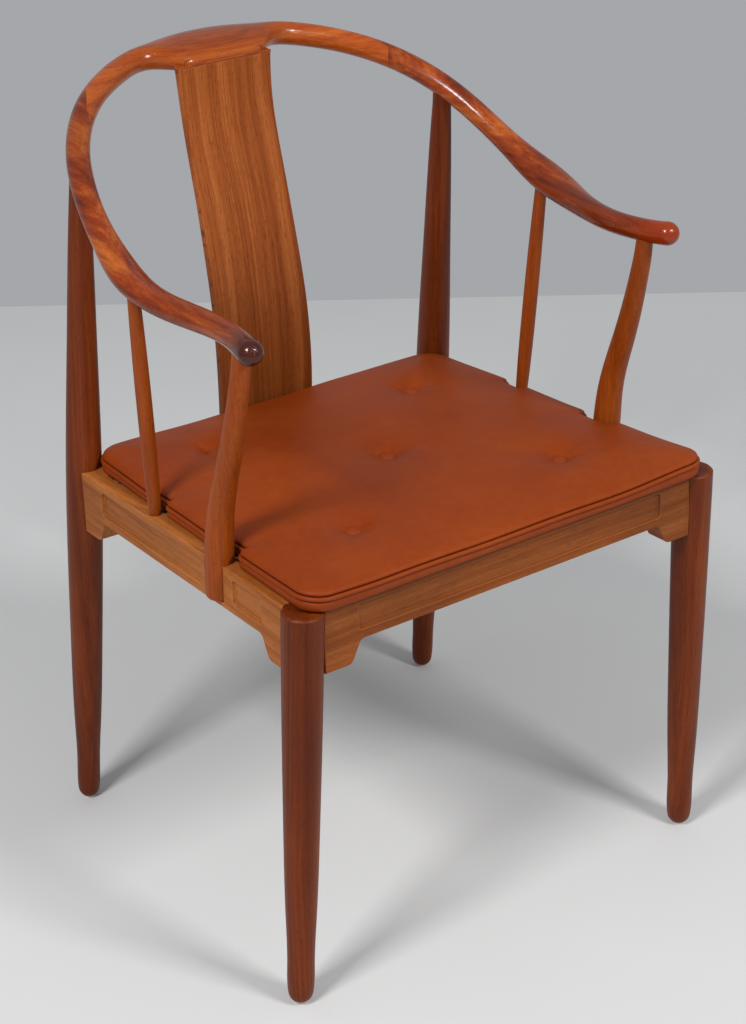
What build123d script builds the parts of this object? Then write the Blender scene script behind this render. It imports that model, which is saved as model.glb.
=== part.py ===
from build123d import *
from math import cos, radians, sin
import os

# A horseshoe back armchair: a bent round bow on two tall rear legs, two bent arm posts and two
# spindles, an S-curved splat, four seat rails between four turned legs, and a loose leather pad.
# Millimetres. X points to the chair's side, the front faces -Y, Z is up, the floor is z = 0.

# ---------------------------------------------------------------- clearances
glue_gap = 0.1          # all round a glued tenon and at a scribed shoulder
rest_gap = 0.3          # under and beside soft pieces
screw_gap = 0.1         # round a screw, tack or nail in its hole

# ---------------------------------------------------------------- legs
seat_height = 434.3     # rail top at the axis of the front legs
seat_pitch = 2.43       # degrees the seat falls towards the back
front_axis_y = -255.1   # axis of the front legs at seat height
front_spread = 241.8    # axis of a front leg at seat height, from the middle
front_splay = 12.2      # how far a front foot stands outside that
front_toe = 1.5         # and in front of it
rear_foot_spread = 236.4
rear_foot_y = 179.5
rear_top_y = 135.2      # where the rear legs meet the bow
leg_top_drop = 0.9      # front leg top below the seat plane
leg_top_chamfer = 1.5
foot_radius = 8.0
front_leg_radii = [(14, 12.8), (45, 13.5), (100, 15.1), (200, 17.5), (300, 19.0)]
front_leg_top_radius = 20.2
front_leg_neck = 25.0   # straight length below its flat top
rear_leg_radii = [(14, 12.0), (45, 12.5), (100, 14.4), (200, 16.9), (300, 18.4), (420, 18.6),
                  (490, 17.2), (560, 15.2), (640, 13.1)]
leg_neck_radius = 10.0  # upper end of a rear leg, let into the bow
leg_neck = 14.0         # straight length of that end
leg_bite = 6.5          # it stops this far below the bow's line
leg_tenon_radius = 6.5
glide_radius = 7.0
glide_height = 3.0
glide_nail_radius = 1.2
glide_nail_length = 12.0

# ---------------------------------------------------------------- rails
rail_thickness = 25.0
rail_proud = 11.0       # rail face outside the line of the leg axes
rail_depth = 44.0
bracket_depth = 66.5    # rail depth at the bracket ends
bracket_length = 45.0   # from the leg axis to the bracket's lower corner
bracket_run = 11.0      # slope from the bracket up to the rail
bracket_round = 8.0
bracket_hollow = 6.0
rail_edge = 1.0
tenon_thickness = 8.0
tenon_height = 36.0
tenon_top = 16.0        # below the rail top
tenon_end = 7.0         # from the leg axis to the end of a tenon
tenon_root = 32.0
sinking_depth = 3.0     # of the sunk panels in the rails' faces
sinking_top = 7.5
sinking_bottom = 9.0
sinking_inset = 54.0    # from the leg axis to the end of a sunk panel
sinking_round = 5.0
sinking_slope = 35.0    # degrees from square of the panel's border

# ---------------------------------------------------------------- bow: crest rail and arms
bow_radius = 12.3
crest_height = 803.6    # middle of the crest's line
crest_back = 263.2
crest_tilt = 12.0       # degrees the widened crest leans down at its front
crest_sweep = 265.0     # radius of its line in plan
crest_arch = 422.0      # from the middle to where its arch, carried on, would be down at the arm
crest_swell = 0.4       # extra height of its widened sections
crest_shoulder = 4.0    # its full width ends this far inside the splat's edge
crest_waist = [(9.0, 33.0, 0.2, 9), (22.0, 19.0, 0.0, 4)]   # outside that edge: place, inside, above, tilt
arm_height = 662.4      # lowest place of the arm's line
arm_reach = 252.0       # widest place of the arm's line, from the middle
knob_radius = 12.0
# the arm's line and sections: share of arm_reach, distance forward of crest_back, share of the rise
# from the arm to the crest; wood outside, inside and above the line; tilt in degrees
arm_stations = [
    (0.4603, 25.9, 0.928, 12.2, 12.4, 12.2, 0),
    (0.5960, 45.2, 0.870, 12.1, 12.1, 12.1, 0),
    (0.7139, 69.0, 0.793, 12.1, 12.1, 12.1, 0),
    (0.8107, 96.7, 0.695, 12.0, 12.0, 12.0, 0),
    (0.8766, 123.3, 0.592, 12.0, 12.0, 12.0, 0),
    (0.9246, 151.8, 0.477, 12.0, 12.0, 12.0, 0),
    (0.9579, 181.5, 0.353, 12.2, 12.2, 12.0, 1),
    (0.9798, 212.3, 0.236, 13.7, 13.7, 12.0, 7),
    (0.9929, 239.6, 0.146, 16.7, 16.7, 12.0, 13),
    (1.0000, 267.5, 0.075, 18.8, 18.8, 12.0, 15),
    (0.9925, 296.1, 0.030, 17.4, 17.4, 12.0, 14),
    (0.9722, 325.4, 0.007, 14.5, 14.5, 12.0, 9),
    (0.9480, 355.1, 0.000, 12.3, 12.3, 11.8, 3),
    (0.9345, 385.1, 0.000, 11.4, 11.4, 11.4, 0),
    (0.9437, 414.9, 0.004, 11.3, 11.3, 11.3, 0),
    (0.9643, 436.4, 0.009, 11.6, 11.6, 11.6, 0),
    (0.9857, 455.0, 0.021, knob_radius, knob_radius, knob_radius, 0),
]
scarf_length = 42.0     # of the joint between crest and arm, along the bow
scarf_place = 78.0      # from its middle to arm_reach, across the chair
scarf_nib = 5.0         # square end of each half of the joint

# ---------------------------------------------------------------- splat
splat_thickness = 9.0
splat_set = 44.2        # its top's middle in front of the crest's line
splat_drop = 13.1       # its top below the crest's line
splat_foot_y = 156.0
# middle of its thickness: share of the height from the seat, share of the way back
splat_curve = [(0.155, 0.003), (0.33, 0.117), (0.50, 0.343), (0.667, 0.602), (0.827, 0.860), (0.924, 0.959)]
# half width: share of the height, millimetres
splat_sides = [(0.50, 56.2), (0.76, 54.7), (0.91, 55.2)]
splat_foot_half = 58.2
splat_top_half = 57.0
splat_edge = 1.5
splat_lip = 2.0         # height of the crest's lip over it
tongue_thickness = 5.0
tongue_rise = 8.0       # into the crest
tongue_drop = 14.0      # into the rear rail
tongue_inset = 9.0      # from the splat's sides

# ---------------------------------------------------------------- arm posts
post_place = 133.0      # from the front leg's axis, along the side rail
post_inset = 4.7        # middle of the foot inside the rail's face
post_foot_radius = 14.2
post_lap = 9.5          # depth of its housing in the rail's face
post_above = 6.0        # its lower end over the rail's bottom edge
post_foot_round = 4.5
post_top_y = -168.5
post_top_radius = 8.6
post_neck = 9.0
post_bite = 6.0
post_tenon_radius = 5.5
# middle line and radius: share of the height, share of the way forward, radius
post_curve = [(0.18, 0.07, 13.4), (0.36, 0.275, 12.1), (0.53, 0.535, 11.2), (0.70, 0.75, 10.1),
              (0.85, 0.905, 9.2)]

# ---------------------------------------------------------------- spindles
spindle_place = 261.5   # from the front leg's axis, along the side rail
spindle_inset = 9.8     # inside the rail's face
spindle_top_y = 0.4
spindle_top_inset = 1.4
spindle_foot_radius = 6.0
spindle_top_radius = 6.2
spindle_swell = [(0.15, 7.2), (0.40, 7.7), (0.62, 7.5), (0.84, 6.7)]
spindle_bite = 12.0
tenon_rise = 4.0        # round tenons end this far above the bow's line

# ---------------------------------------------------------------- webbing, blocks and fasteners
band_width = 50.0
band_thickness = 1.5
long_pitch = 96.0
cross_pitch = 88.0
rebate_width = 7.5
rebate_stop = 38.0      # from the leg axis
band_end_gap = 0.5
tack_head_radius = 3.0
tack_head_height = 0.8
tack_radius = 0.8
tack_length = 8.0
tack_offset = 15.0      # of a band's two tacks from its middle
tack_inset = 3.6        # from the band's end
block_leg = 56.0        # along each rail
block_top = 10.0        # below the seat plane
block_height = 22.0
block_screw = 38.0      # from the rails' inner corner
screw_radius = 2.0
screw_head_radius = 3.8
screw_head_height = 2.4
screw_seat = 11.0       # head above the rail's inner face
screw_depth = 16.0      # in the rail
driver_room = 80.0      # length of the counterbore behind a head, in screw gaps

# ---------------------------------------------------------------- cushion
cushion_front = 20.6    # overhang before the front leg axes
cushion_rear_gap = 3.0  # to the splat
cushion_front_wide = 6.2        # outside the front leg axes
cushion_rear_narrow = 6.0       # inside the rear leg axes
cushion_front_round = 27.0
cushion_rear_round = 29.0
cushion_edge = 22.5     # height of the pad at the middle of its front and rear
cushion_crown = 3.5     # further rise to its middle
cushion_round = 12.0    # of its upper edge
welt_radius = 2.3
welt_height = 9.0
leather = 1.3
notch_round = 4.5
notch_mouth = 5.5
post_notch_before = 22.5
post_notch_behind = 19.0
post_notch_in = 26.0    # from the post's middle to the notch's inner end
spindle_notch_half = 13.0
spindle_notch_in = 15.5
button_radius = 9.0
button_height = 2.6     # of its dome
button_rim = 0.8
button_shank = 1.2
button_shank_length = 9.0
dimple_radius = 26.0
dimple_depth = 5.5
button_places = [(0.0, 193.5), (128.8, 75.6), (-128.8, 75.6), (127.0, 317.0), (-127.0, 317.0)]

os.makedirs("parts", exist_ok=True)

UP = Vector(0, 0, 1)
seat = Plane(
    origin=(0, front_axis_y, seat_height),
    x_dir=(1, 0, 0),
    z_dir=(0, sin(radians(seat_pitch)), cos(radians(seat_pitch))),
)


def keep(builder, node):
    builder.part.label = node
    export_step(builder.part, f"parts/{node}.step")


def keep_pair(builder, node):
    """The piece made for the right side, and its mirror image for the left."""
    keep(builder, f"{node}_right")
    with BuildPart() as left:
        mirror(builder.part, about=Plane.YZ)
    keep(left, f"{node}_left")


def across_plane(point, direction):
    """A plane square to a direction."""
    up = direction.normalized()
    return Plane(origin=point, x_dir=(Vector(1, 0, 0) - up * up.X).normalized(), z_dir=up)


def rod(point, direction, radius, low, high, mode=Mode.ADD):
    """A round bar or hole along an axis, between two distances from a point on it."""
    with BuildSketch(across_plane(point + direction.normalized() * low, direction)) as disc:
        Circle(radius)
    extrude(disc.sketch, amount=high - low, mode=mode)


# ================================================================ the bow
crest_front = crest_back - splat_set - splat_thickness / 2


def bow_height(rise):
    """Height of the bow's line at a share of the rise from the arm to the crest."""
    return arm_height + rise * (crest_height - arm_height)


def crest_line_y(x):
    return crest_back - x**2 / (2 * crest_sweep)


def crest_station(x, inside, above, tilt):
    """A section of the crest, on its sweep and arch."""
    height = bow_height(1 - (x / crest_arch) ** 2)
    return (x, crest_line_y(x), height, bow_radius, inside, bow_radius + above, tilt)


wide_end = splat_top_half - crest_shoulder
half_stations = []
for x in (0.0, wide_end / 2, wide_end):
    # wide enough to bring the crest's front edge flush with the splat
    inside = (crest_line_y(x) - crest_front) / cos(radians(crest_tilt))
    half_stations.append(crest_station(x, inside, crest_swell, crest_tilt))
for beyond, inside, above, tilt in crest_waist:
    half_stations.append(crest_station(splat_top_half + beyond, inside, above, tilt))
for across, forward, rise, *section in arm_stations:
    half_stations.append((arm_reach * across, crest_back - forward, bow_height(rise), *section))
stations = [(-s[0], *s[1:]) for s in half_stations[:0:-1]] + half_stations

with BuildLine() as bow_path:
    Spline(*[s[:3] for s in stations])
bow_line = bow_path.edge()


def station_plane(station):
    """A section's plane: X points out of the horseshoe and Y up, both turned by the tilt."""
    point = Vector(*station[:3])
    along = bow_line.tangent_at(bow_line.param_at_point(point))
    out = UP.cross(along).normalized()
    tilt = radians(station[6])
    return Plane(origin=point, x_dir=out * cos(tilt) + along.cross(out) * sin(tilt), z_dir=along)


def bow_point(y):
    """Where the right half of the bow's line stands at a given depth."""
    low, high = 0.5, 1.0
    while high - low > 1e-6:
        middle = (low + high) / 2
        if (bow_line @ middle).Y > y:
            low = middle
        else:
            high = middle
    return bow_line @ low


# The right half is lofted from a few sections beyond the middle, which keeps the crest smooth there.
run_over = 7

with BuildPart() as bow:
    for station in stations[len(half_stations) - 1 - run_over:]:
        outside, inside, half_height = station[3:6]
        with BuildSketch(station_plane(station)):
            with Locations(((outside - inside) / 2, 0)):
                Ellipse((outside + inside) / 2, half_height)
    loft()
    split(bisect_by=Plane.YZ, keep=Keep.TOP)
    with Locations(station_plane(stations[-1])):
        Sphere(knob_radius, arc_size1=0, align=(Align.CENTER, Align.CENTER, Align.MIN))
    mirror(about=Plane.YZ)

# ================================================================ axes of the legs and rails
front_top = Vector(front_spread, front_axis_y, seat_height)
front_foot = Vector(front_spread + front_splay, front_axis_y - front_toe, 0)
front_direction = (front_top - front_foot).normalized()
leg_crossing = bow_point(rear_top_y)
rear_foot = Vector(rear_foot_spread, rear_foot_y, 0)
rear_direction = (leg_crossing - rear_foot).normalized()


def seat_crossing(foot, direction):
    """Where a leg's axis goes through the seat plane, in the seat's own x and y."""
    distance = (seat.origin - foot).dot(seat.z_dir) / direction.dot(seat.z_dir)
    return seat.to_local_coords(foot + direction * distance)


def seat_vector(vector):
    return seat.x_dir * vector.X + seat.y_dir * vector.Y


front_axis = seat_crossing(front_foot, front_direction)
rear_axis = seat_crossing(rear_foot, rear_direction)
side_run = Vector(rear_axis.X - front_axis.X, rear_axis.Y - front_axis.Y)
side_length = side_run.length
side_run = side_run.normalized()
side_out = Vector(side_run.Y, -side_run.X)
front_length = 2 * front_axis.X
rear_length = 2 * rear_axis.X

# The outer face of each rail: X runs from one leg axis to the other, Y up, Z out of the rail.
front_face = Plane(
    origin=seat.from_local_coords((-front_axis.X, front_axis.Y - rail_proud, 0)),
    x_dir=seat.x_dir,
    z_dir=-seat.y_dir,
)
rear_face = Plane(
    origin=seat.from_local_coords((rear_axis.X, rear_axis.Y + rail_proud, 0)),
    x_dir=-seat.x_dir,
    z_dir=seat.y_dir,
)
side_face = Plane(
    origin=seat.from_local_coords(
        (front_axis.X + rail_proud * side_out.X, front_axis.Y + rail_proud * side_out.Y, 0)
    ),
    x_dir=seat_vector(side_run),
    z_dir=seat_vector(side_out),
)

# ================================================================ splat
splat_top_y = crest_back - splat_set
splat_top_z = crest_height - splat_drop
splat_foot_z = seat.from_local_coords((0, splat_foot_y - front_axis_y, 0)).Z
splat_rise = splat_top_z - splat_foot_z


def splat_board(grow, low):
    """The bent board from a height up to its shoulder under the crest, grown all round by a gap."""
    middle = [(splat_foot_y, splat_foot_z - 8)]
    middle += [
        (splat_foot_y + g * (splat_top_y - splat_foot_y), splat_foot_z + f * splat_rise)
        for f, g in splat_curve
    ]
    middle += [(splat_top_y, splat_top_z), (splat_top_y + 0.5, splat_top_z + 8)]
    half_widths = [(splat_foot_half, splat_foot_z - 8)]
    half_widths += [(half, splat_foot_z + f * splat_rise) for f, half in splat_sides]
    half_widths += [(splat_top_half, splat_top_z), (splat_top_half + 0.6, splat_top_z + 8)]
    centre = Spline(*middle, mode=Mode.PRIVATE)
    front, rear = [], []
    for place in middle:
        point = Vector(*place)
        along = centre.tangent_at(centre.param_at_point(point))
        across = Vector(along.Y, -along.X) * (splat_thickness / 2 + grow)
        front.append(point - across)
        rear.append(point + across)
    with BuildPart() as board:
        with BuildSketch(Plane.YZ):
            with BuildLine():
                near = Spline(*front)
                away = Spline(*rear)
                Line(near @ 0, away @ 0)
                Line(near @ 1, away @ 1)
            make_face()
        extrude(amount=2 * splat_foot_half, both=True)
        with BuildSketch(Plane.XZ):
            with BuildLine():
                right = Spline(*[(half + grow, z) for half, z in half_widths])
                left = Spline(*[(-half - grow, z) for half, z in half_widths])
                Line(right @ 0, left @ 0)
                Line(right @ 1, left @ 1)
            make_face()
        extrude(amount=2 * crest_back, both=True, mode=Mode.INTERSECT)
        split(bisect_by=Plane.XY.offset(low), keep=Keep.TOP)
        split(bisect_by=Plane.XY.offset(splat_top_z - glue_gap + grow), keep=Keep.BOTTOM)
    return board.part


def tongue(y, low, high, half, grow, mode):
    """A tongue on the splat's end, or the slot for it."""
    with BuildSketch(Plane.XY.offset(low)) as section:
        with Locations((0, y)):
            Rectangle(2 * (half - tongue_inset + grow), tongue_thickness + 2 * grow)
    extrude(section.sketch, amount=high - low, mode=mode)


board = splat_board(0, splat_foot_z - 7)
socket = splat_board(glue_gap, splat_top_z - 30)

with BuildPart() as back_splat:
    add(board)
    split(bisect_by=seat.offset(glue_gap), keep=Keep.TOP)
    upright = [e for e in back_splat.edges() if abs((e @ 1).Z - (e @ 0).Z) > splat_rise / 2]
    fillet(upright, splat_edge)
    tongue(splat_top_y, splat_top_z - 1, splat_top_z + tongue_rise, splat_top_half, 0, Mode.ADD)
    tongue(splat_foot_y, splat_foot_z - tongue_drop, splat_foot_z + 2, splat_foot_half, 0, Mode.ADD)
keep(back_splat, "back_splat")


# ================================================================ crest rail and arms
def crest_region(gap):
    """Plan of everything on the crest's side of the two scarfs, drawn back by a gap.
    Each cut runs along the bow and has a square nib at both ends."""
    low, high = 0.5, 1.0
    while high - low > 1e-6:
        middle = (low + high) / 2
        if (bow_line @ middle).X < arm_reach - scarf_place:
            low = middle
        else:
            high = middle
    centre = bow_line @ low
    tangent = bow_line % low
    run = Vector(tangent.X, tangent.Y).normalized()
    out = Vector(-run.Y, run.X)
    centre = Vector(centre.X, centre.Y) - run * gap
    step = run * (scarf_length / 2)
    cheek = out * (bow_radius - scarf_nib)
    cut = [
        centre - step + out * 3 * bow_radius,
        centre - step + cheek,
        centre + step - cheek,
        centre + step - out * 3 * bow_radius,
    ]
    far = 2 * crest_back
    right = [(p.X, p.Y) for p in cut]
    left = [(-x, y) for x, y in right]
    with BuildSketch() as region:
        with BuildLine():
            Polyline((right[0][0], far), *right, *left[::-1], (left[0][0], far), close=True)
        make_face()
    return region.sketch


crest_plan = crest_region(glue_gap / 2)
crest_space = crest_region(-glue_gap / 2)

with BuildPart() as crest_rail:
    add(bow.part)
    # lip that carries the crest's front edge down to the splat
    with BuildSketch(Plane.XY.offset(splat_top_z)):
        with Locations((0, splat_top_y)):
            Rectangle(2 * splat_top_half, splat_thickness)
    extrude(amount=splat_lip)
    extrude(crest_plan, amount=2 * crest_height, mode=Mode.INTERSECT)
    add(socket, mode=Mode.SUBTRACT)
    tongue(splat_top_y, splat_top_z - 5, splat_top_z + tongue_rise + glue_gap, splat_top_half, glue_gap,
           Mode.SUBTRACT)
keep(crest_rail, "crest_rail")

post_crossing = bow_point(post_top_y)
spindle_crossing = bow_point(spindle_top_y) - Vector(spindle_top_inset, 0, 0)
post_foot = side_face.from_local_coords((post_place, 0, -post_inset))
spindle_foot = side_face.from_local_coords((spindle_place, 0, -spindle_inset))
spindle_direction = (spindle_crossing - spindle_foot).normalized()
post_rise = post_crossing - post_foot
post_points = [
    Vector(post_foot.X + f * post_rise.X, post_foot.Y + g * post_rise.Y, post_foot.Z + f * post_rise.Z)
    for f, g, _ in post_curve
]
post_direction = (post_crossing - post_points[-1]).normalized()

with BuildPart() as arm:
    add(bow.part)
    extrude(crest_space, amount=2 * crest_height, mode=Mode.SUBTRACT)
    split(bisect_by=Plane.YZ, keep=Keep.TOP)
    # the rear leg, the arm post and the spindle enter from below
    for point, direction, radius, low, high in (
        (leg_crossing, rear_direction, leg_neck_radius, -leg_neck - 20, -leg_bite),
        (leg_crossing, rear_direction, leg_tenon_radius, -leg_neck, tenon_rise),
        (post_crossing, post_direction, post_top_radius, -post_neck - 12, -post_bite),
        (post_crossing, post_direction, post_tenon_radius, -post_neck, tenon_rise),
        (spindle_crossing, spindle_direction, spindle_top_radius, -40, tenon_rise),
    ):
        rod(point, direction, radius + glue_gap, low, high + glue_gap, Mode.SUBTRACT)
keep_pair(arm, "arm")


# ================================================================ legs
def turned(foot, direction, profile, low, high):
    """A turned piece: radii at heights over the floor or over its foot, revolved about its axis."""
    up = direction.normalized()
    across = (Vector(1, 0, 0) - up * up.X).normalized()
    with BuildSketch(Plane(origin=foot, x_dir=across, z_dir=across.cross(up))) as half:
        with BuildLine():
            side = Spline(*profile)
            Polyline(side @ 1, (profile[-1][0], high), (0, high), (0, low), side @ 0)
        make_face()
    revolve(half.sketch, axis=Axis(foot, up))


front_leg_top = (front_top - front_foot).length - leg_top_drop
rear_leg_top = (leg_crossing - rear_foot).length - leg_bite


def front_leg_solid(grow, above=0.0):
    profile = [(foot_radius + grow, glide_height), (foot_radius + 3.2 + grow, glide_height + 4)]
    profile += [(radius + grow, height) for height, radius in front_leg_radii]
    profile += [(front_leg_top_radius + grow, front_leg_top - front_leg_neck)]
    with BuildPart() as leg:
        turned(front_foot, front_direction, profile, glide_height, front_leg_top + above)
    return leg.part


def rear_leg_solid(grow):
    profile = [(foot_radius + grow, glide_height), (foot_radius + 2.7 + grow, glide_height + 4)]
    profile += [(radius + grow, height) for height, radius in rear_leg_radii]
    profile += [(leg_neck_radius + grow, rear_leg_top - leg_neck)]
    with BuildPart() as leg:
        turned(rear_foot, rear_direction, profile, glide_height, rear_leg_top)
    return leg.part


def rail_tenon(face, place, grow, mode):
    """The tenon whose middle is at a place along a rail, or the mortise for it."""
    with BuildSketch(face.offset(-(rail_thickness - tenon_thickness) / 2 + grow)) as cheek:
        with Locations((place, -tenon_top - tenon_height / 2)):
            Rectangle(tenon_root - tenon_end + 2 * grow, tenon_height + 2 * grow)
    extrude(cheek.sketch, amount=-(tenon_thickness + 2 * grow), mode=mode)


tenon_middle = (tenon_root + tenon_end) / 2
front_leg = front_leg_solid(0)
rear_leg = rear_leg_solid(0)

with BuildPart() as leg_front:
    add(front_leg)
    chamfer(leg_front.edges().filter_by(GeomType.CIRCLE).sort_by(Axis.Z)[-1], leg_top_chamfer)
    rail_tenon(front_face, front_length - tenon_middle, glue_gap, Mode.SUBTRACT)
    rail_tenon(side_face, tenon_middle, glue_gap, Mode.SUBTRACT)
    rod(front_foot, front_direction, glide_nail_radius + screw_gap, 0, glide_height + glide_nail_length,
        Mode.SUBTRACT)
keep_pair(leg_front, "leg_front")

with BuildPart() as leg_rear:
    add(rear_leg)
    rod(leg_crossing, rear_direction, leg_tenon_radius, -leg_bite - 1, tenon_rise)
    rail_tenon(rear_face, tenon_middle, glue_gap, Mode.SUBTRACT)
    rail_tenon(side_face, side_length - tenon_middle, glue_gap, Mode.SUBTRACT)
    rod(rear_foot, rear_direction, glide_nail_radius + screw_gap, 0, glide_height + glide_nail_length,
        Mode.SUBTRACT)
keep_pair(leg_rear, "leg_rear")


def glide_pair(foot, direction, node):
    """Round glides, level at the floor, each with its nail."""
    with BuildPart() as glide:
        rod(foot, direction, glide_radius, -glide_height, glide_height)
        split(bisect_by=Plane.XY, keep=Keep.TOP)
        rod(foot, direction, glide_nail_radius, glide_height, glide_height + glide_nail_length - screw_gap)
    keep_pair(glide, node)


glide_pair(front_foot, front_direction, "glide_front")
glide_pair(rear_foot, rear_direction, "glide_rear")

# ================================================================ webbing, drawn in the seat plane
front_rebate = band_thickness + tack_head_height + 2 * screw_gap
side_rebate = front_rebate + band_thickness
rebate_wall = rail_thickness - rail_proud - rebate_width     # inside the line of the leg axes


def web_field(inset):
    """The quadrilateral between the walls of the four rebates, drawn in by a gap."""
    reach = rebate_wall + inset
    corners = []
    for y in (front_axis.Y + reach, rear_axis.Y - reach):
        along = (y - front_axis.Y + reach * side_out.Y) / side_run.Y
        corners.append((front_axis.X + along * side_run.X - reach * side_out.X, y))
    (front_x, front_y), (rear_x, rear_y) = corners
    with BuildLine() as field:
        Polyline((-front_x, front_y), (front_x, front_y), (rear_x, rear_y), (-rear_x, rear_y), close=True)
    make_face(field.edges(), mode=Mode.INTERSECT)


seat_middle = (front_axis.Y + rear_axis.Y) / 2
long_rows = [(k - 1.5) * long_pitch for k in range(4)]
cross_rows = [seat_middle + (k - 1.5) * cross_pitch for k in range(4)]
long_tacks, cross_tacks = [], []
for x in (row + side * tack_offset for row in long_rows for side in (-1, 1)):
    inset = rebate_wall + band_end_gap + tack_inset
    long_tacks += [(x, front_axis.Y + inset), (x, rear_axis.Y - inset)]
for y in (row + side * tack_offset for row in cross_rows for side in (-1, 1)):
    edge = front_axis.X + (y - front_axis.Y) * side_run.X / side_run.Y
    x = edge - rebate_wall - band_end_gap - tack_inset
    cross_tacks += [(x, y), (-x, y)]


def tack_holes(places, top, depth):
    with BuildSketch(seat.offset(top)) as holes:
        with Locations(*places):
            Circle(tack_radius + screw_gap)
    extrude(holes.sketch, amount=-depth, mode=Mode.SUBTRACT)


with BuildPart() as webbing_long:
    with BuildSketch(seat.offset(-front_rebate)):
        with Locations(*[(x, seat_middle) for x in long_rows]):
            Rectangle(band_width, side_length)
        web_field(band_end_gap)
    extrude(amount=band_thickness)
    tack_holes(long_tacks, 0, side_rebate)
keep(webbing_long, "webbing_long")

with BuildPart() as webbing_cross:
    with BuildSketch(seat.offset(-side_rebate)):
        with Locations(*[(0, y) for y in cross_rows]):
            Rectangle(front_length, band_width)
        web_field(band_end_gap)
    extrude(amount=band_thickness)
    tack_holes(cross_tacks, 0, 2 * side_rebate)
keep(webbing_cross, "webbing_cross")

with BuildPart() as webbing_tacks:
    for places, top in (
        (long_tacks, band_thickness - front_rebate),
        (cross_tacks, band_thickness - side_rebate),
    ):
        with BuildSketch(seat.offset(top)):
            with Locations(*places):
                Circle(tack_head_radius)
        extrude(amount=tack_head_height)
        with BuildSketch(seat.offset(top)):
            with Locations(*places):
                Circle(tack_radius)
        extrude(amount=-tack_length)
keep(webbing_tacks, "webbing_tacks")

# ================================================================ corner blocks and their screws
inner = rail_thickness - rail_proud


def corner_frame(axis, toward):
    """The inner corner between two rails: X along the end rail inwards, Y along the side rail."""
    run = side_run * toward
    y = axis.Y + toward * inner
    x = axis.X + (y - axis.Y) * side_run.X / side_run.Y - inner / side_run.Y
    return Vector(x, y), Vector(-1, 0), run


def block_screws(axis, toward, hole, mode):
    """The two screws of a corner block, or the holes for them."""
    corner, along_end, along_side = corner_frame(axis, toward)
    level = -block_top - block_height / 2
    across_end = Vector(0, toward)
    across_side = side_out * -1
    for direction, place in (
        (across_end, corner + along_end * block_screw),
        (across_side, corner + along_side * block_screw),
    ):
        point = seat.from_local_coords((place.X, place.Y, level))
        way = seat_vector(direction)
        rod(point, way, screw_radius + hole, -screw_depth - hole, screw_seat, mode)
        head_end = screw_seat + screw_head_height + driver_room * hole
        rod(point, way, screw_head_radius + hole, screw_seat, head_end, mode)


def block_pair(axis, toward, leg, node):
    corner, along_end, along_side = corner_frame(axis, toward)
    tips = [corner, corner + along_end * block_leg, corner + along_side * block_leg]
    with BuildPart() as block:
        with BuildSketch(seat.offset(-block_top)):
            with BuildLine():
                Polyline(*[(p.X, p.Y) for p in tips], close=True)
            make_face()
        extrude(amount=-block_height)
        add(leg, mode=Mode.SUBTRACT)
        block_screws(axis, toward, screw_gap, Mode.SUBTRACT)
    keep_pair(block, node)


block_pair(front_axis, 1, front_leg_solid(rest_gap), "corner_block_front")
block_pair(rear_axis, -1, rear_leg_solid(rest_gap), "corner_block_rear")

with BuildPart() as corner_screws:
    block_screws(front_axis, 1, 0, Mode.ADD)
    block_screws(rear_axis, -1, 0, Mode.ADD)
    mirror(about=Plane.YZ)
keep(corner_screws, "corner_screws")

# ================================================================ rails
rail_start = rail_thickness - rail_proud + 1.0


def rail_body(face, length, sinkings, rebate):
    """A seat rail with bracket ends, sunk panels in its face and a rebate for the webbing."""
    near, far = bracket_length, length - bracket_length
    end = length - rail_start
    with BuildSketch(face) as outline:
        with BuildLine():
            Polyline(
                (rail_start, 0), (end, 0), (end, -bracket_depth), (far, -bracket_depth),
                (far - bracket_run, -rail_depth), (near + bracket_run, -rail_depth),
                (near, -bracket_depth), (rail_start, -bracket_depth), close=True,
            )
        make_face()
        fillet(outline.vertices().group_by(Axis.Y)[1], bracket_hollow)
        fillet(outline.vertices().group_by(Axis.Y)[0].sort_by(Axis.X)[1:-1], bracket_round)
    body = extrude(outline.sketch, amount=-rail_thickness)
    outer = body.faces().filter_by(Axis(face.origin, face.z_dir)).sort_by(Axis(face.origin, face.z_dir))[-1]
    middle = [e for e in outer.edges() if rail_start + 1 < face.to_local_coords(e.center()).X < end - 1]
    fillet(middle, rail_edge)
    for first, last in sinkings:
        height = rail_depth - sinking_top - sinking_bottom
        with BuildSketch(face) as panel:
            with Locations(((first + last) / 2, -sinking_top - height / 2)):
                RectangleRounded(last - first, height, sinking_round)
        extrude(panel.sketch, amount=-sinking_depth, taper=sinking_slope, mode=Mode.SUBTRACT)
    with BuildSketch(face.offset(-rail_thickness + rebate_width)) as step:
        with Locations((length / 2, 0)):
            Rectangle(length - 2 * rebate_stop, 2 * rebate)
    extrude(step.sketch, amount=-2 * rebate_width, mode=Mode.SUBTRACT)


front_sinking = [(sinking_inset, front_length - sinking_inset)]
rear_sinking = [(sinking_inset, rear_length - sinking_inset)]
post_margin = post_foot_radius + 13.5
side_sinkings = [
    (sinking_inset, post_place - post_margin),
    (post_place + post_margin, side_length - sinking_inset),
]
front_cope = front_leg_solid(glue_gap, rail_thickness)
rear_cope = rear_leg_solid(glue_gap)

with BuildPart() as screw_holes:
    block_screws(front_axis, 1, screw_gap, Mode.ADD)
    block_screws(rear_axis, -1, screw_gap, Mode.ADD)
    mirror(about=Plane.YZ)

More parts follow.
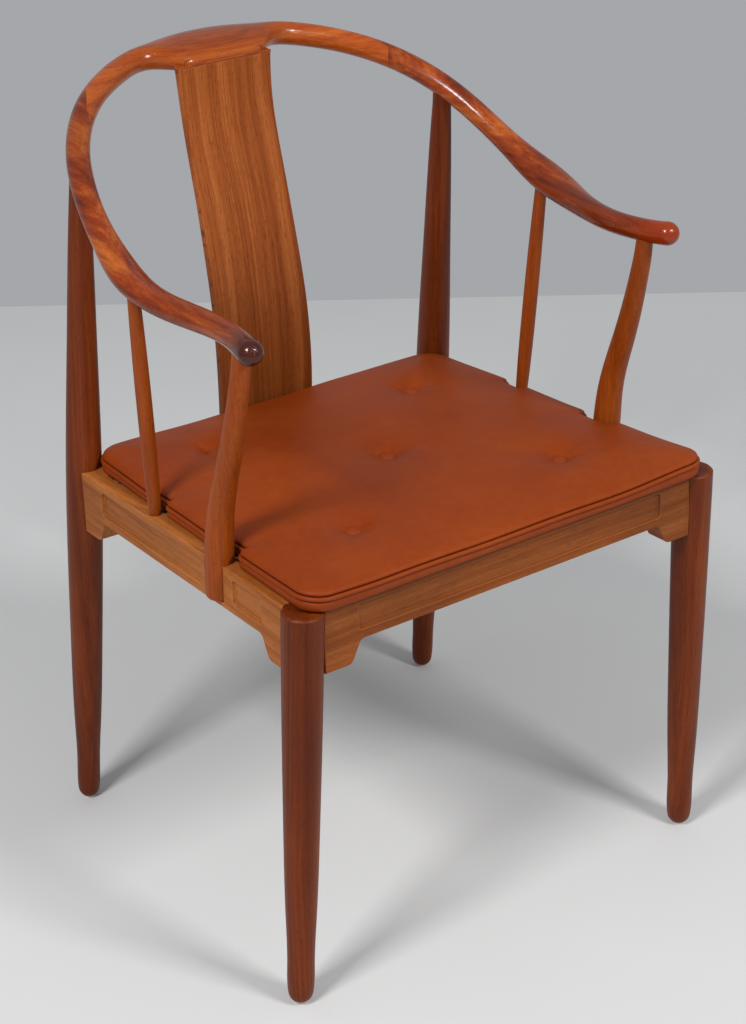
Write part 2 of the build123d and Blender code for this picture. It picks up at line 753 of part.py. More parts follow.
with BuildPart() as rail_front:
    rail_body(front_face, front_length, front_sinking, front_rebate)
    add(front_cope, mode=Mode.SUBTRACT)
    mirror(front_cope, about=Plane.YZ, mode=Mode.SUBTRACT)
    rail_tenon(front_face, tenon_middle, 0, Mode.ADD)
    rail_tenon(front_face, front_length - tenon_middle, 0, Mode.ADD)
    tack_holes(long_tacks, 0, tack_length + side_rebate)
    add(screw_holes.part, mode=Mode.SUBTRACT)
keep(rail_front, "rail_front")

with BuildPart() as rail_rear:
    rail_body(rear_face, rear_length, rear_sinking, front_rebate)
    add(rear_cope, mode=Mode.SUBTRACT)
    mirror(rear_cope, about=Plane.YZ, mode=Mode.SUBTRACT)
    rail_tenon(rear_face, tenon_middle, 0, Mode.ADD)
    rail_tenon(rear_face, rear_length - tenon_middle, 0, Mode.ADD)
    tongue(splat_foot_y, splat_foot_z - tongue_drop - glue_gap, splat_foot_z + 5, splat_foot_half, glue_gap,
           Mode.SUBTRACT)
    tack_holes(long_tacks, 0, tack_length + side_rebate)
    add(screw_holes.part, mode=Mode.SUBTRACT)
keep(rail_rear, "rail_rear")

# ================================================================ arm posts
post_low = seat.from_local_coords((0, post_place, -rail_depth)).Z + post_above
post_shoulder = post_foot.Z + 4


def post_round(grow):
    """The straight foot of an arm post."""
    with BuildPart() as foot:
        with BuildSketch(Plane.XY.offset(post_low)):
            with Locations((post_foot.X, post_foot.Y)):
                Circle(post_foot_radius + grow)
        extrude(amount=post_shoulder - post_low)
    return foot.part


post_bar = post_round(0)

with BuildPart() as arm_post:
    add(post_bar)
    fillet(arm_post.edges().sort_by(Axis.Z)[0], post_foot_round)
    # the half behind the rail's face is cut back to its lap, under a shoulder on the rail's top
    with BuildSketch(side_face.offset(-post_lap)):
        with Locations((post_place, glue_gap - rail_depth)):
            Rectangle(4 * post_foot_radius, 2 * rail_depth)
    extrude(amount=-2 * post_foot_radius, mode=Mode.SUBTRACT)
    with BuildLine() as post_path:
        start = Vector(post_foot.X, post_foot.Y, post_shoulder)
        neck = post_crossing - post_direction * (post_bite + post_neck)
        Spline(start, *post_points, neck, tangents=[UP, post_direction])
    post_line = post_path.edge()
    radii = [post_foot_radius] + [radius for _, _, radius in post_curve] + [post_top_radius]
    for point, radius in zip([start, *post_points, neck], radii):
        place = post_line.param_at_point(point)
        with BuildSketch(across_plane(point, post_line % place)):
            Circle(radius)
    loft()
    rod(post_crossing, post_direction, post_top_radius, -post_bite - post_neck, -post_bite)
    rod(post_crossing, post_direction, post_tenon_radius, -post_bite - 1, tenon_rise)
keep_pair(arm_post, "arm_post")

# ================================================================ spindles
spindle_length = (spindle_crossing - spindle_foot).length

with BuildPart() as spindle:
    swell = [(spindle_foot_radius, 0.0)]
    swell += [(radius, share * spindle_length) for share, radius in spindle_swell]
    swell += [(spindle_top_radius, spindle_length - 1.4 * bow_radius)]
    turned(spindle_foot, spindle_direction, swell, 0, spindle_length + tenon_rise)
    rod(spindle_foot, spindle_direction, spindle_foot_radius, -spindle_bite, 0)
keep_pair(spindle, "spindle")

post_space = post_round(glue_gap)

with BuildPart() as housing:
    add(post_space)
    split(bisect_by=side_face.offset(-post_lap - glue_gap), keep=Keep.TOP)

with BuildPart() as rail_side:
    rail_body(side_face, side_length, side_sinkings, side_rebate)
    add(front_cope, mode=Mode.SUBTRACT)
    add(rear_cope, mode=Mode.SUBTRACT)
    rail_tenon(side_face, tenon_middle, 0, Mode.ADD)
    rail_tenon(side_face, side_length - tenon_middle, 0, Mode.ADD)
    add(housing.part, mode=Mode.SUBTRACT)
    rod(spindle_foot, spindle_direction, spindle_foot_radius + glue_gap, -spindle_bite - glue_gap, 20,
        Mode.SUBTRACT)
    tack_holes(cross_tacks, 0, tack_length + 2 * side_rebate)
    add(screw_holes.part, mode=Mode.SUBTRACT)
keep(rail_side, "rail_right")
with BuildPart() as rail_left:
    mirror(rail_side.part, about=Plane.YZ)
keep(rail_left, "rail_left")

# ================================================================ cushion, drawn in the seat plane
pad_front = front_axis.Y - cushion_front
pad_rear = splat_foot_y - splat_thickness / 2 - cushion_rear_gap - front_axis_y
pad_wide = front_axis.X + cushion_front_wide
pad_narrow = rear_axis.X - cushion_rear_narrow
pad_slope = (pad_narrow - pad_wide) / (pad_rear - pad_front)


post_mid = seat.to_local_coords(post_foot)
spindle_mid = seat.to_local_coords(spindle_foot)


def mirrored_outline(right):
    """Corners and radii of a closed outline from those of its right half."""
    corners = right + [(-x, y, radius) for x, y, radius in right[::-1]]
    return [(x, y) for x, y, _ in corners], [radius for _, _, radius in corners]


def cushion_corners(grow):
    front = (pad_wide + grow, pad_front - grow, cushion_front_round + grow)
    rear = (pad_narrow + grow, pad_rear + grow, cushion_rear_round + grow)
    return front, rear


def cushion_notches(grow):
    """Corners of the notches round the post and the spindle, on the right."""
    corners = []
    for middle, before, behind, inward in (
        (post_mid, post_notch_before, post_notch_behind, post_notch_in),
        (spindle_mid, spindle_notch_half, spindle_notch_half, spindle_notch_in),
    ):
        first = middle.Y - before + grow
        last = middle.Y + behind - grow
        deep = middle.X - inward + grow
        corners += [
            (pad_wide + pad_slope * (first - pad_front) + grow, first, notch_mouth),
            (deep, first, notch_round),
            (deep, last, notch_round),
            (pad_wide + pad_slope * (last - pad_front) + grow, last, notch_mouth),
        ]
    return corners


def notched_outline(grow):
    front, rear = cushion_corners(grow)
    return mirrored_outline([front, *cushion_notches(grow), rear])


pad_middle = (pad_front + pad_rear) / 2
crown_reach = (pad_rear - pad_front) / 2
crown_radius = (crown_reach**2 + cushion_crown**2) / (2 * cushion_crown)
dimple_curve = (dimple_radius**2 + dimple_depth**2) / (2 * dimple_depth)
pad_top = cushion_edge + cushion_crown


def crown_height(x, y):
    """Height of the pad's top over its underside."""
    across = x**2 + (y - pad_middle) ** 2
    return pad_top - crown_radius + (crown_radius**2 - across) ** 0.5


def make_pad(inset):
    """The cushion's body without its welt, drawn in on every side."""
    wall = -2 * welt_radius - rest_gap - inset
    with BuildPart() as pad:
        corners, radii = mirrored_outline(list(cushion_corners(wall)))
        with BuildSketch(Plane.XY.offset(rest_gap + inset)):
            with BuildLine():
                FilletPolyline(*corners, radius=radii, close=True)
            make_face()
        extrude(amount=2 * pad_top)
        with Locations((0, pad_middle, rest_gap + pad_top - crown_radius)):
            Sphere(crown_radius - inset, mode=Mode.INTERSECT)
        fillet(pad.faces().sort_by(Axis.Z)[-1].edges(), cushion_round - inset)
        corners, radii = notched_outline(wall)
        with BuildSketch():
            with BuildLine():
                FilletPolyline(*corners, radius=radii, close=True)
            make_face()
        extrude(amount=2 * pad_top, mode=Mode.INTERSECT)
        for x, y in button_places:
            low = rest_gap + crown_height(x, y) - dimple_depth
            with Locations((x, y, low + dimple_curve)):
                Sphere(dimple_curve + inset, mode=Mode.SUBTRACT)
            with Locations((x, y, low)):
                Cylinder(button_shank + screw_gap, 2 * button_shank_length, mode=Mode.SUBTRACT)
    return pad.part


pad_skin = make_pad(0)
pad_lining = make_pad(leather)
filling = make_pad(leather + glue_gap)
seam = Plane.XY.offset(rest_gap + welt_height)

# the pad is drawn level and then laid on the seat
with BuildPart() as cover_top:
    add(pad_skin)
    add(pad_lining, mode=Mode.SUBTRACT)
    split(bisect_by=seam, keep=Keep.TOP)
cover_top.part = seat.location * cover_top.part
keep(cover_top, "cushion_cover_top")

with BuildPart() as cover_bottom:
    add(pad_skin)
    add(pad_lining, mode=Mode.SUBTRACT)
    split(bisect_by=seam, keep=Keep.BOTTOM)
cover_bottom.part = seat.location * cover_bottom.part
keep(cover_bottom, "cushion_cover_bottom")

with BuildPart() as core:
    add(filling)
core.part = seat.location * core.part
keep(core, "cushion_core")

with BuildPart() as welt:
    corners, radii = notched_outline(-welt_radius)
    with BuildLine(seam) as welt_path:
        FilletPolyline(*corners, radius=radii, close=True)
    path = welt_path.wire()
    with BuildSketch(Plane(origin=path @ 0, x_dir=UP, z_dir=path % 0)):
        Circle(welt_radius)
    sweep(path=path)
welt.part = seat.location * welt.part
keep(welt, "cushion_welt")

button_dome = (button_radius**2 + button_height**2) / (2 * button_height)

with BuildPart() as button:
    Cylinder(button_radius, 2 * (button_height + button_rim))
    with Locations((0, 0, button_rim + button_height - button_dome)):
        Sphere(button_dome, mode=Mode.INTERSECT)
    split(bisect_by=Plane.XY, keep=Keep.TOP)
    Cylinder(button_shank, button_shank_length, align=(Align.CENTER, Align.CENTER, Align.MAX))

with BuildPart() as buttons:
    lip = button_radius**2 / (2 * dimple_curve) + glue_gap
    for x, y in button_places:
        with Locations((x, y, rest_gap + crown_height(x, y) - dimple_depth + lip)):
            add(button.part)
buttons.part = seat.location * buttons.part
keep(buttons, "cushion_buttons")
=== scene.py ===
from math import cos, pi, radians, sin

import bmesh
import bpy
import numpy as np
from mathutils import Matrix, Vector, geometry, noise

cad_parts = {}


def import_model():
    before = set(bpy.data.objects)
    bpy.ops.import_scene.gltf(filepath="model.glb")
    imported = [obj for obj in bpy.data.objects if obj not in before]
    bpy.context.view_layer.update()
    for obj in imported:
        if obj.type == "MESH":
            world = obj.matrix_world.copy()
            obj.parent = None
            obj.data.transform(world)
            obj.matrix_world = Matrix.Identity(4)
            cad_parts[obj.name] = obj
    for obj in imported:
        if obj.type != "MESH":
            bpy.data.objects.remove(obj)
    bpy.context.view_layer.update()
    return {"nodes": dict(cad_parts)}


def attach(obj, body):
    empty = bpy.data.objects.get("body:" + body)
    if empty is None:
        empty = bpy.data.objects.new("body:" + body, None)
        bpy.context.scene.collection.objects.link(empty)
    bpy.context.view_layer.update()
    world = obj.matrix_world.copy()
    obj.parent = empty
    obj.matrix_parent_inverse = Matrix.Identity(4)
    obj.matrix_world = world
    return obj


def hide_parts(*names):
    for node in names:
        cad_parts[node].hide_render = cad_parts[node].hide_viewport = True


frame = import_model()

nodes = frame["nodes"]
scene = bpy.context.scene

# The seat plane: origin over the front legs' axes, falling towards the back.
SEAT_Z = 0.4343
SEAT_Y = -0.2551
SEAT_PITCH = radians(2.43)
seat = Matrix.Translation((0, SEAT_Y, SEAT_Z)) @ Matrix.Rotation(-SEAT_PITCH, 4, "X")


# ---------------------------------------------------------------- shader helpers
def add(tree, kind, inputs=None, **settings):
    """A shader node; sockets given as inputs are linked, other values are set."""
    made = tree.nodes.new("ShaderNode" + kind)
    for key, value in settings.items():
        setattr(made, key, value)
    for key, value in (inputs or {}).items():
        if isinstance(value, bpy.types.NodeSocket):
            tree.links.new(value, made.inputs[key])
        else:
            made.inputs[key].default_value = value
    return made


def calc(tree, operation, a, b=0.0, c=0.0):
    return add(tree, "Math", {0: a, 1: b, 2: c}, operation=operation).outputs[0]


def remap(tree, value, low, high, to_low=0.0, to_high=1.0, smooth=False):
    kind = "SMOOTHSTEP" if smooth else "LINEAR"
    made = add(tree, "MapRange", {0: value, 1: low, 2: high, 3: to_low, 4: to_high},
               interpolation_type=kind, clamp=True)
    return made.outputs[0]


def blend_colours(tree, factor, a, b):
    return add(tree, "Mix", {0: factor, 6: a, 7: b}, data_type="RGBA").outputs[2]


def ramp(tree, factor, stops):
    made = add(tree, "ValToRGB", {0: factor})
    bar = made.color_ramp
    while len(bar.elements) < len(stops):
        bar.elements.new(0.5)
    for element, (place, colour) in zip(bar.elements, stops):
        element.position = place
        element.color = (*colour, 1)
    return made.outputs[0]


def material(name):
    made = bpy.data.materials.new(name)
    made.use_nodes = True
    made.node_tree.nodes.clear()
    return made, made.node_tree


def finish_shader(tree, inputs):
    shader = add(tree, "BsdfPrincipled", inputs)
    out = add(tree, "OutputMaterial")
    tree.links.new(shader.outputs[0], out.inputs[0])


def object_place(tree):
    return add(tree, "TexCoord").outputs["Object"]


def coordinate(tree, axis):
    """One of the object's own coordinates."""
    return add(tree, "SeparateXYZ", {0: object_place(tree)}).outputs[axis]


def noise_at(tree, vector, scale, detail=3.0, rough=0.55):
    inputs = {"Vector": vector, "Scale": scale, "Detail": detail, "Roughness": rough}
    return add(tree, "TexNoise", inputs).outputs[0]


def shaded(colour, shares):
    """A colour with each channel brought down to its share."""
    return (*[channel * share for channel, share in zip(colour, shares)], 1)


def dress(obj, finish):
    obj.data.materials.clear()
    obj.data.materials.append(finish)


# ---------------------------------------------------------------- woods
GRAIN_DRIFT = (0.03, -0.02)
BROAD_SHARE, NARROW_SHARE, FIBRE_SHARE = 0.52, 0.30, 0.22
GRAIN_MIDDLE = 0.51
PORE_FROM, PORE_TO = 0.60, 0.70
PORE_SHADE = (0.35, 0.3, 0.3)
# Patches of tone darken a wood more than they brighten it.
TONE_FROM, TONE_TO = 0.32, 0.68
PATCH_LIFT = 0.4
# Painted shade in hollows and grooves: the dark colour's share in each channel, how far the occlusion looks,
# and the shares where it starts and is full.
PAINTED_CREVICE_SHADE = (0.3, 0.25, 0.2)
CREVICE_REACH = 0.004
OPEN_SHARE, CLOSED_SHARE = 0.92, 0.55
# An edge is lighter, as wear with a painted highlight, where its softened normal turns away from the face's
# own.
EDGE_RADIUS = 0.0012
FLAT_BEND, WORN_AND_HIGHLIT_BEND = 0.985, 0.90
WORN_AND_HIGHLIT_BRIGHTER = 1.7
DARKEST_END = 0.85


def grain_space(tree, turn, offset, along=1.0, across=1.0):
    """Object coordinates turned so that the grain runs along Z, with its own scales."""
    turned = add(tree, "Mapping", {"Vector": object_place(tree), "Location": offset, "Rotation": turn})
    scaled = add(tree, "Mapping", {"Vector": turned.outputs[0], "Scale": (across, across, along)})
    return scaled.outputs[0]


def wood_figure(tree, turn, offset, streak, through):
    """Grain, fibres, pores and tone patches of a board, in features per metre along and across the grain."""
    drift = noise_at(tree, grain_space(tree, turn, offset, along=2.2, across=5.0), 1.0, detail=2.0)
    shift = add(tree, "CombineXYZ", {axis: calc(tree, "MULTIPLY", drift, reach)
                                     for axis, reach in enumerate(GRAIN_DRIFT)})
    straight = grain_space(tree, turn, offset)
    waved = add(tree, "VectorMath", {0: straight, 1: shift.outputs[0]}, operation="ADD").outputs[0]

    def figure(along, across, detail, rough=0.55):
        scaled = add(tree, "Mapping", {"Vector": waved, "Scale": (across, across * through, along)})
        return noise_at(tree, scaled.outputs[0], 1.0, detail, rough)

    broad = figure(along=0.8, across=streak, detail=3.0)
    narrow = figure(along=1.6, across=streak * 5, detail=2.0)
    fibre = figure(along=20.0, across=1300.0, detail=2.0, rough=0.6)
    pore = remap(tree, figure(along=110.0, across=2100.0, detail=1.0), PORE_FROM, PORE_TO)
    tone = figure(along=5.0, across=11.0, detail=2.0)
    grain = calc(tree, "MULTIPLY_ADD", broad, BROAD_SHARE, calc(tree, "MULTIPLY", narrow, NARROW_SHARE))
    return calc(tree, "MULTIPLY_ADD", fibre, FIBRE_SHARE, grain), fibre, pore, tone


def wood(name, dark, middle, light, turn, offset=(0, 0, 0), *, streak, rough=(0.36, 0.46), gloss=0.18,
         pores=0.55, edge=0.35, patch=0.35, ends=None, painted_shade_below=None, painted_crevice_shade=0.0, spread=0.15, through=1.0):
    """Finished wood in three colours, with pores, tone patches, and lighter edges of wear with a painted
    highlight.

    turn and offset place the figure. streak is how many broad streaks a metre across the grain holds, and
    through below 1 draws the figure out through the board's thickness. The smaller spread is, the stronger
    the streaks. pores, edge and patch are strengths, and so is the painted shade that darkens hollows. ends
    blends towards a colour along Y, and the painted shade below lowers the brightness along Z, darker towards
    the bottom, both from one place to another.
    """
    made, tree = material(name)
    grain, fibre, pore, tone = wood_figure(tree, turn, offset, streak, through)
    colour = ramp(tree, grain, [(GRAIN_MIDDLE - spread, dark), (GRAIN_MIDDLE, middle),
                                (GRAIN_MIDDLE + spread, light)])
    brightness = remap(tree, tone, TONE_FROM, TONE_TO, 1 - patch, 1 + patch * PATCH_LIFT)
    colour = add(tree, "HueSaturation", {"Color": colour, "Value": brightness}).outputs[0]
    colour = blend_colours(tree, calc(tree, "MULTIPLY", pore, pores), colour, shaded(dark, PORE_SHADE))
    if ends:
        low, high, end_colour = ends
        share = remap(tree, coordinate(tree, 1), low, high, 0.0, DARKEST_END, smooth=True)
        colour = blend_colours(tree, share, colour, (*end_colour, 1))
    # Painted shade: the wood is darker towards the bottom, along Z.
    if painted_shade_below:
        low, high, least = painted_shade_below
        brightness = remap(tree, coordinate(tree, 2), low, high, least, 1.0, smooth=True)
        colour = add(tree, "HueSaturation", {"Color": colour, "Value": brightness}).outputs[0]
    # Painted shade: the wood darkens where occlusion finds hollows and grooves, such as the rails' sunk
    # panels.
    if painted_crevice_shade:
        hollow = add(tree, "AmbientOcclusion", {"Distance": CREVICE_REACH}, samples=4, only_local=True)
        share = remap(tree, hollow.outputs["AO"], OPEN_SHARE, CLOSED_SHARE, 0.0, painted_crevice_shade)
        colour = blend_colours(tree, share, colour, shaded(dark, PAINTED_CREVICE_SHADE))
    soft_normal = add(tree, "Bevel", {"Radius": EDGE_RADIUS}, samples=4).outputs[0]
    flat_normal = add(tree, "NewGeometry").outputs["Normal"]
    bend = add(tree, "VectorMath", {0: flat_normal, 1: soft_normal}, operation="DOT_PRODUCT").outputs["Value"]
    # Lighter edges: wear, with a painted highlight along the arrises.
    worn_and_highlit_colour = (*[min(1, channel * WORN_AND_HIGHLIT_BRIGHTER) for channel in light], 1)
    colour = blend_colours(tree, remap(tree, bend, FLAT_BEND, WORN_AND_HIGHLIT_BEND, 0.0, edge), colour, worn_and_highlit_colour)
    sheen = calc(tree, "MULTIPLY_ADD", tone, 0.6, calc(tree, "MULTIPLY", fibre, 0.4))
    height = calc(tree, "SUBTRACT", calc(tree, "MULTIPLY", fibre, 0.5), pore)
    bump = add(tree, "Bump", {"Strength": 0.25, "Distance": 0.00025, "Height": height, "Normal": soft_normal})
    finish_shader(tree, {
        "Base Color": colour,
        "Roughness": remap(tree, sheen, 0.3, 0.7, *rough),
        "Specular IOR Level": gloss,
        "Normal": bump.outputs[0],
    })
    return made


UPRIGHT = (0, 0, 0)
ALONG_X = (0, pi / 2, 0)
ALONG_Y = (pi / 2, 0, 0)

# Dark, middle and light colour of each wood.
CREST = ((0.16, 0.022, 0.002), (0.345, 0.058, 0.003), (0.47, 0.115, 0.013))
ARM = ((0.100, 0.010, 0.001), (0.240, 0.032, 0.002), (0.42, 0.100, 0.011))
SPLAT = ((0.185, 0.036, 0.004), (0.285, 0.067, 0.010), (0.39, 0.110, 0.024))
LEG = ((0.085, 0.012, 0.001), (0.140, 0.022, 0.002), (0.205, 0.040, 0.006))
POST = ((0.20, 0.033, 0.002), (0.262, 0.047, 0.003), (0.325, 0.068, 0.007))
SIDE_RAIL = ((0.25, 0.062, 0.010), (0.36, 0.108, 0.020), (0.45, 0.155, 0.036))
# The front and rear rails take a darker copy of the side rails' wood: painted shade, as the front rail's face
# gets less light.
PAINTED_SHADE_RAIL = ((0.17, 0.036, 0.005), (0.25, 0.064, 0.011), (0.33, 0.098, 0.022))
BLOCK = ((0.30, 0.17, 0.08), (0.42, 0.26, 0.13), (0.55, 0.37, 0.20))

# The arms turn to the colour of their end grain between these two places along Y.
GRIP_FROM, GRIP_TO = -0.150, -0.192
LEFT_GRIP, RIGHT_GRIP = (0.024, 0.003, 0.002), (0.25, 0.025, 0.001)

BOW_LOOK = {"streak": 34, "gloss": 0.4, "rough": (0.12, 0.18)}
CREST_LOOK = {**BOW_LOOK, "patch": 0.22, "pores": 0.35, "spread": 0.14, "through": 0.2}
ARM_LOOK = {**BOW_LOOK, "patch": 0.28, "pores": 0.3, "spread": 0.13}
# The splat gets painted shade, darker towards its bottom.
SPLAT_LOOK = {"streak": 90, "patch": 0.05, "pores": 0.7, "painted_shade_below": (0.46, 0.66, 0.60), "spread": 0.12,
              "through": 0.03}
LEG_LOOK = {"streak": 70, "patch": 0.25}
POST_LOOK = {"streak": 140, "patch": 0.2}
# The rails get painted shade in their hollows, and stronger lighter edges of wear with a painted highlight.
RAIL_LOOK = {"streak": 110, "patch": 0.25, "edge": 0.6, "gloss": 0.15, "rough": (0.45, 0.58), "painted_crevice_shade": 0.75}
BLOCK_LOOK = {"streak": 60, "gloss": 0.2, "rough": (0.55, 0.7), "pores": 0.3}

# Every board has its own wood: node, colours, the grain's run, its place in the figure, and the look.
BOARDS = (
    ("crest_rail", CREST, ALONG_X, (0.3, 0.1, 0.2), CREST_LOOK),
    ("arm_left", ARM, ALONG_Y, (0.7, 0.2, 0.9), {**ARM_LOOK, "ends": (GRIP_FROM, GRIP_TO, LEFT_GRIP)}),
    ("arm_right", ARM, ALONG_Y, (0.1, 0.6, 0.35), {**ARM_LOOK, "ends": (GRIP_FROM, GRIP_TO, RIGHT_GRIP)}),
    ("back_splat", SPLAT, UPRIGHT, (0.2, 0.4, 0.6), SPLAT_LOOK),
    ("leg_front_left", LEG, UPRIGHT, (0.11, 0.83, 0.05), LEG_LOOK),
    ("leg_front_right", LEG, UPRIGHT, (0.42, 0.27, 0.31), LEG_LOOK),
    ("leg_rear_left", LEG, UPRIGHT, (0.77, 0.51, 0.64), LEG_LOOK),
    ("leg_rear_right", LEG, UPRIGHT, (0.93, 0.14, 0.48), LEG_LOOK),
    ("arm_post_left", POST, UPRIGHT, (0.21, 0.4, 0.7), POST_LOOK),
    ("arm_post_right", POST, UPRIGHT, (0.61, 0.8, 0.1), POST_LOOK),
    ("spindle_left", POST, UPRIGHT, (0.33, 0.9, 0.5), POST_LOOK),
    ("spindle_right", POST, UPRIGHT, (0.81, 0.3, 0.9), POST_LOOK),
    ("rail_front", PAINTED_SHADE_RAIL, ALONG_X, (0.5, 0.2, 0.3), RAIL_LOOK),
    ("rail_rear", PAINTED_SHADE_RAIL, ALONG_X, (0.1, 0.7, 0.9), RAIL_LOOK),
    ("rail_left", SIDE_RAIL, ALONG_Y, (0.8, 0.3, 0.6), RAIL_LOOK),
    ("rail_right", SIDE_RAIL, ALONG_Y, (0.2, 0.9, 0.4), RAIL_LOOK),
)
for node, colours, run, offset, look in BOARDS:
    dress(nodes[node], wood(f"{node}_wood", *colours, run, offset, **look))
block_wood = wood("block_wood", *BLOCK, ALONG_X, **BLOCK_LOOK)


# ---------------------------------------------------------------- other materials
WARP_PITCH, WEFT_PITCH = 0.0022, 0.0018
WEAVE_SHARE = 0.22
PEBBLES_PER_METRE = 900.0
PEBBLE_SHIFT = 0.0016
PATCH_SHARE = 0.65
FURROW_WIDTH = 0.22
FURROW_DARKNESS = 0.22
FURROW_COLOUR = (0.11, 0.013, 0.001, 1)


def steel(name, dull, shine, rough):
    """Mottled steel, from a dull grey to a brighter one."""
    made, tree = material(name)
    mottled = noise_at(tree, object_place(tree), scale=900.0)
    finish_shader(tree, {
        "Base Color": ramp(tree, mottled, [(0.3, dull), (0.7, shine)]),
        "Metallic": 1.0,
        "Roughness": remap(tree, mottled, 0.3, 0.7, rough, rough + 0.17),
    })
    return made


def jute(name, along):
    """Woven webbing: threads about two millimetres apart both ways, and loose hair."""
    made, tree = material(name)
    place = object_place(tree)
    x, y = coordinate(tree, 0), coordinate(tree, 1)
    first, second = (x, y) if along == "Y" else (y, x)
    warp = calc(tree, "SINE", calc(tree, "MULTIPLY", first, 2 * pi / WARP_PITCH))
    weft = calc(tree, "SINE", calc(tree, "MULTIPLY", second, 2 * pi / WEFT_PITCH))
    hair = noise_at(tree, place, scale=900.0, detail=4.0, rough=0.7)
    woven = calc(tree, "MULTIPLY_ADD", calc(tree, "MULTIPLY", warp, weft), WEAVE_SHARE, hair)
    colour = ramp(tree, woven, [(0.25, (0.09, 0.055, 0.027)), (0.5, (0.21, 0.145, 0.08)),
                                (0.8, (0.32, 0.235, 0.14))])
    bump = add(tree, "Bump", {"Strength": 0.6, "Distance": 0.0005, "Height": woven})
    finish_shader(tree, {"Base Color": colour, "Roughness": 0.85, "Sheen Weight": 0.2,
                         "Normal": bump.outputs[0]})
    return made


def plastic():
    """Pale plastic of the glides, scuffed and grubby in patches."""
    made, tree = material("pale_glide")
    scuff = noise_at(tree, object_place(tree), scale=350.0, detail=5.0, rough=0.65)
    colour = ramp(tree, scuff, [(0.35, (0.34, 0.31, 0.25)), (0.55, (0.62, 0.59, 0.52)),
                                (0.7, (0.70, 0.68, 0.62))])
    bump = add(tree, "Bump", {"Strength": 0.2, "Distance": 0.0003, "Height": scuff})
    finish_shader(tree, {"Base Color": colour, "Roughness": 0.5, "Normal": bump.outputs[0]})
    return made


def leather():
    """Cognac leather: pebbled grain with darker furrows, and soft tone patches."""
    made, tree = material("cognac_leather")
    place = object_place(tree)
    push = calc(tree, "MULTIPLY", noise_at(tree, place, scale=260.0, detail=2.0), PEBBLE_SHIFT)
    pushed = add(tree, "VectorMath", {0: place, 1: push}, operation="ADD").outputs[0]
    pebbles = add(tree, "TexVoronoi", {"Vector": pushed, "Scale": PEBBLES_PER_METRE, "Randomness": 1.0},
                  feature="DISTANCE_TO_EDGE")
    raised = remap(tree, pebbles.outputs["Distance"], 0.0, FURROW_WIDTH)
    fine = noise_at(tree, place, scale=110.0, detail=4.0, rough=0.6)
    patches = noise_at(tree, place, scale=9.0)
    tone = calc(tree, "MULTIPLY_ADD", patches, PATCH_SHARE, calc(tree, "MULTIPLY", fine, 1 - PATCH_SHARE))
    colour = ramp(tree, tone, [(0.30, (0.205, 0.027, 0.001)), (0.50, (0.243, 0.036, 0.002)),
                               (0.70, (0.285, 0.049, 0.004))])
    furrow = calc(tree, "MULTIPLY", calc(tree, "SUBTRACT", 1.0, raised), FURROW_DARKNESS)
    colour = blend_colours(tree, furrow, colour, FURROW_COLOUR)
    height = calc(tree, "MULTIPLY_ADD", fine, 0.5, raised)
    bump = add(tree, "Bump", {"Strength": 0.16, "Distance": 0.0003, "Height": height})
    finish_shader(tree, {
        "Base Color": colour,
        "Roughness": remap(tree, tone, 0.3, 0.7, 0.46, 0.54),
        "Specular IOR Level": 0.16,
        "Normal": bump.outputs[0],
    })
    return made


hide = leather()
pale = plastic()
dress(nodes["webbing_long"], jute("jute_long", "Y"))
dress(nodes["webbing_cross"], jute("jute_cross", "X"))
dress(nodes["corner_screws"], steel("zinc_steel", (0.34, 0.34, 0.34), (0.55, 0.55, 0.56), 0.28))
dress(nodes["webbing_tacks"], steel("blued_steel", (0.060, 0.058, 0.060), (0.15, 0.145, 0.15), 0.45))
for end in ("front", "rear"):
    for side in ("left", "right"):
        dress(nodes[f"corner_block_{end}_{side}"], block_wood)
        dress(nodes[f"glide_{end}_{side}"], pale)

# ---------------------------------------------------------------- cushion: sizes
# In the seat plane, in millimetres where nothing else is said. The outline is the solids' own, but its
# notches lie a little closer round the posts and spindles.
WELT_RADIUS = 2.3
WELT_MIDDLE = 9.3
PAD_FRONT, PAD_REAR = -20.6, 403.6
PAD_WIDE, PAD_NARROW = 248.0, 223.0
FRONT_ROUND, REAR_ROUND = 27.0, 29.0
# Middle, reach before, behind and inward, and the radii at the mouth and inside: post, then spindle.
NOTCHES = ((243.96, 133.13, 19.5, 15.5, 16.5, 8.6, 2.6), (234.86, 261.41, 10.5, 9.0, 11.4, 5.3, 2.4))
BUTTONS = ((0.0, 193.5), (128.8, 75.6), (-128.8, 75.6), (127.0, 317.0), (-127.0, 317.0))
# The edge from below to above: how far in from the outline, and how high.
EDGE_PROFILE = (
    (6.5, 0.3), (4.5, 0.3), (2.6, 0.5), (1.5, 1.4), (0.9, 2.9), (1.0, 4.5), (1.9, 5.9), (3.4, 6.9),
    (4.9, 8.0), (5.4, 9.3), (5.0, 10.5), (3.8, 11.6), (2.8, 12.8), (2.6, 14.0), (3.2, 15.2), (4.6, 16.3),
    (6.5, 17.2),
)
INNERMOST, LOWEST = EDGE_PROFILE[0]
HIGHEST = EDGE_PROFILE[-1][1]
# The line that every other line of the edge is an offset of, and the longest step along it.
RING_INSET = 3.0
RING_STEP = 1.8
# The sheets between the edges: distance of points, row height as a share of it, and the free rim.
TOP_STEP, BOTTOM_STEP = 3.0, 12.0
ROW_SHARE = 0.866
RIM_SHARE, RIM_STEP_MOST = 0.6, 4.0
# How the upper sheet bulges before it is blown up, and how it is drawn in at each button.
DOME, DOME_REACH = 7.4, 21.0
FIRST_DIMPLE, FIRST_DIMPLE_REACH = 6.4, 14.0
# The air in the pad: points this near a button stay, and none moves further than MOST_PUFF metres.
PINNED_REACH = 7
PRESSURE = 4.0
CLOTH_FRAMES = 20
MOST_PUFF = 0.0028
